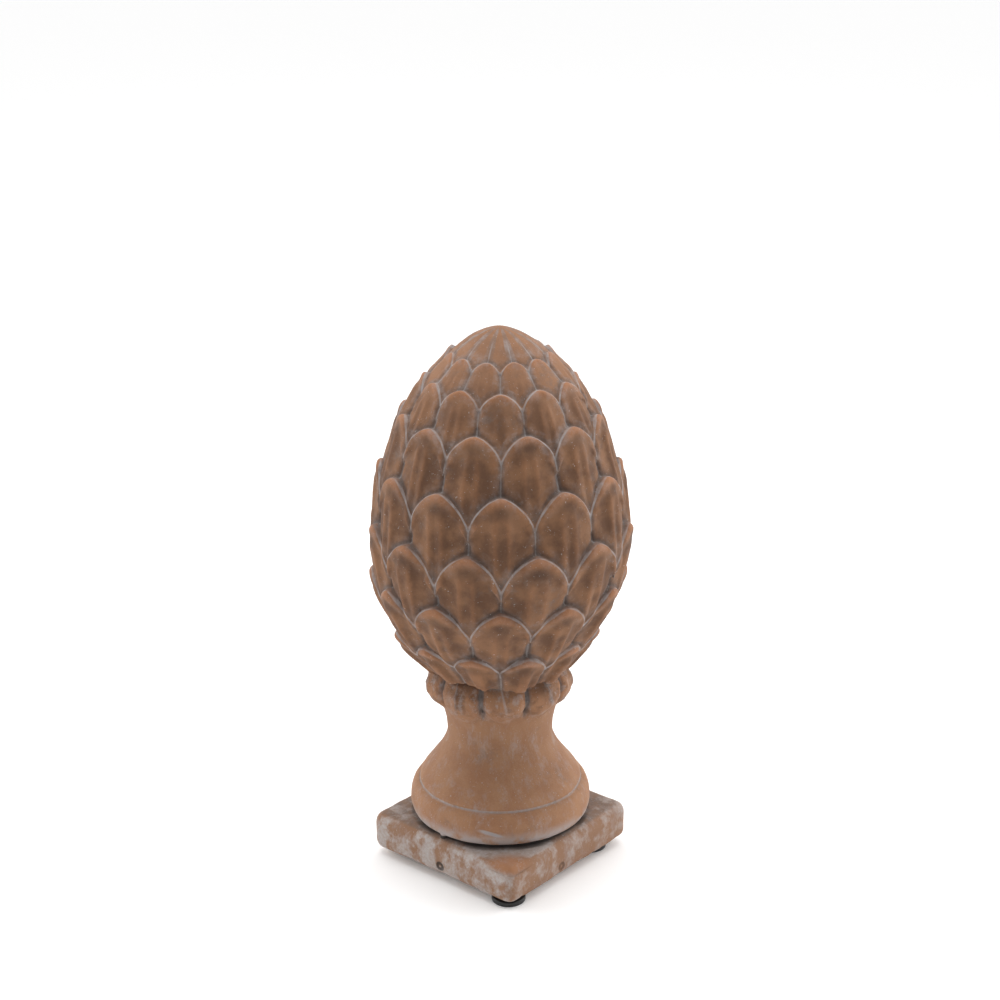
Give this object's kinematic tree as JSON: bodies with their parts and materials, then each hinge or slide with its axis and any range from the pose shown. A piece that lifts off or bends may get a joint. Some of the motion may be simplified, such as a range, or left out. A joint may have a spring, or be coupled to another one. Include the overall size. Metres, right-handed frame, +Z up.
{
  "type": "pinecone finial",
  "caption": "Pinecone finial: an egg of overlapping scales on a leaf collar, a bell-shaped foot and a square plinth with rubber pads.",
  "frame": {"origin": "middle of the underside, on the surface that the rubber pads stand on", "axes": "+Z up along the finial's axis; the plinth's sides face +X, -X, +Y and -Y, and the corner that the picture shows nearest points to +X and -Y"},
  "size_m": [0.1398, 0.1398, 0.2977],
  "materials": {
    "terracotta": "matt brown terracotta with worn orange edges and a pale grey wash left in the grooves",
    "pad_rubber": "black, smooth and slightly dusty"
  },
  "bodies": {
    "root": {"casting": "terracotta", "front_pad": "pad_rubber", "right_pad": "pad_rubber", "back_pad": "pad_rubber", "left_pad": "pad_rubber"}
  },
  "joints": []
}
